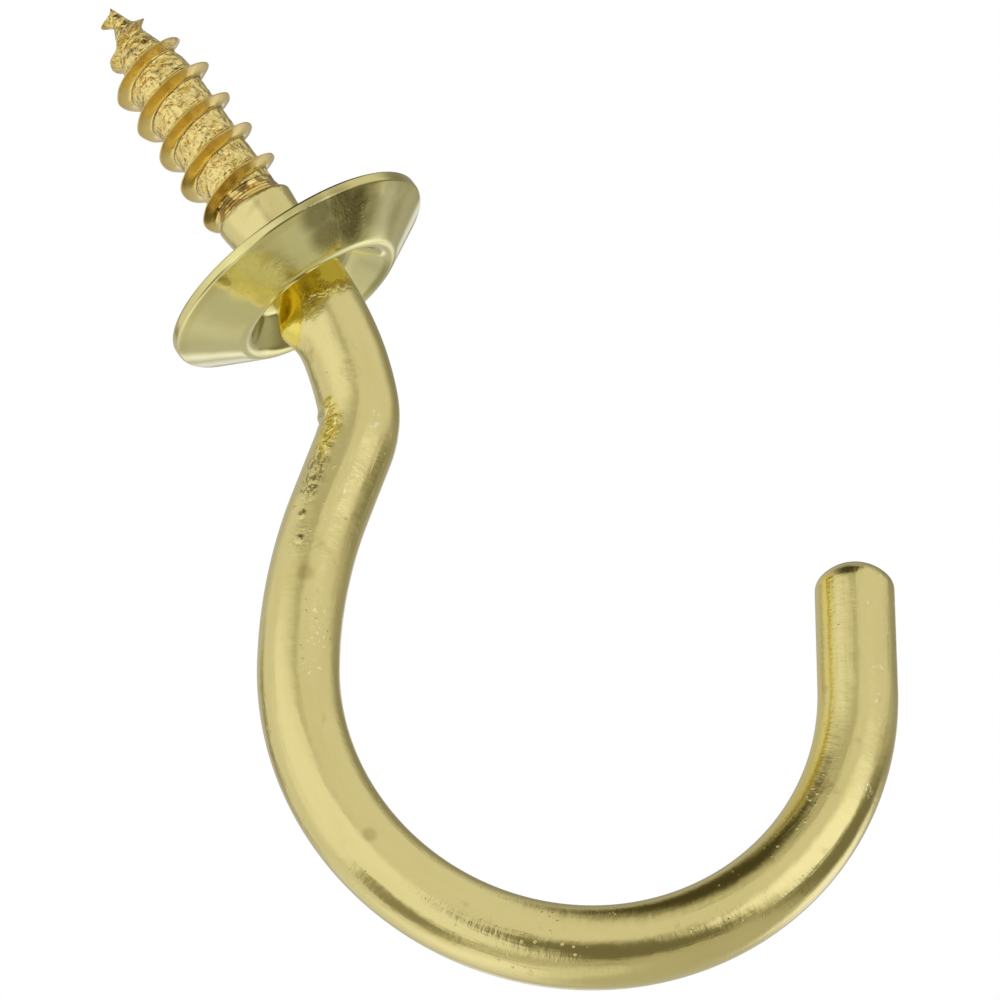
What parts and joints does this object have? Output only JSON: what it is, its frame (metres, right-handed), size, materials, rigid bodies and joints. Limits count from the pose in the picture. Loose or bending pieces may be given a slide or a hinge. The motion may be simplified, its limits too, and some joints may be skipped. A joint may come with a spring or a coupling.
{
  "type": "cup hook",
  "caption": "Bent-wire cup hook with a rolled wood-screw thread and a pressed, flared collar that seats against the wall or shelf.",
  "frame": {"origin": "on the screw's axis, in the plane where the collar's rim meets the wall or the shelf's underside", "axes": "+Z along the screw's axis towards its point, +X towards the hook's open end in the hook's own plane, +Y completes the frame; the hook hangs along -Z, as under a shelf"},
  "size_m": [0.0244, 0.0112, 0.0455],
  "materials": {
    "brass_wire": "bright drawn brass wire with a satin sheen",
    "brass_collar": "polished pressed brass sheet"
  },
  "bodies": {
    "root": {"hook": "brass_wire", "collar": "brass_collar"}
  },
  "joints": []
}
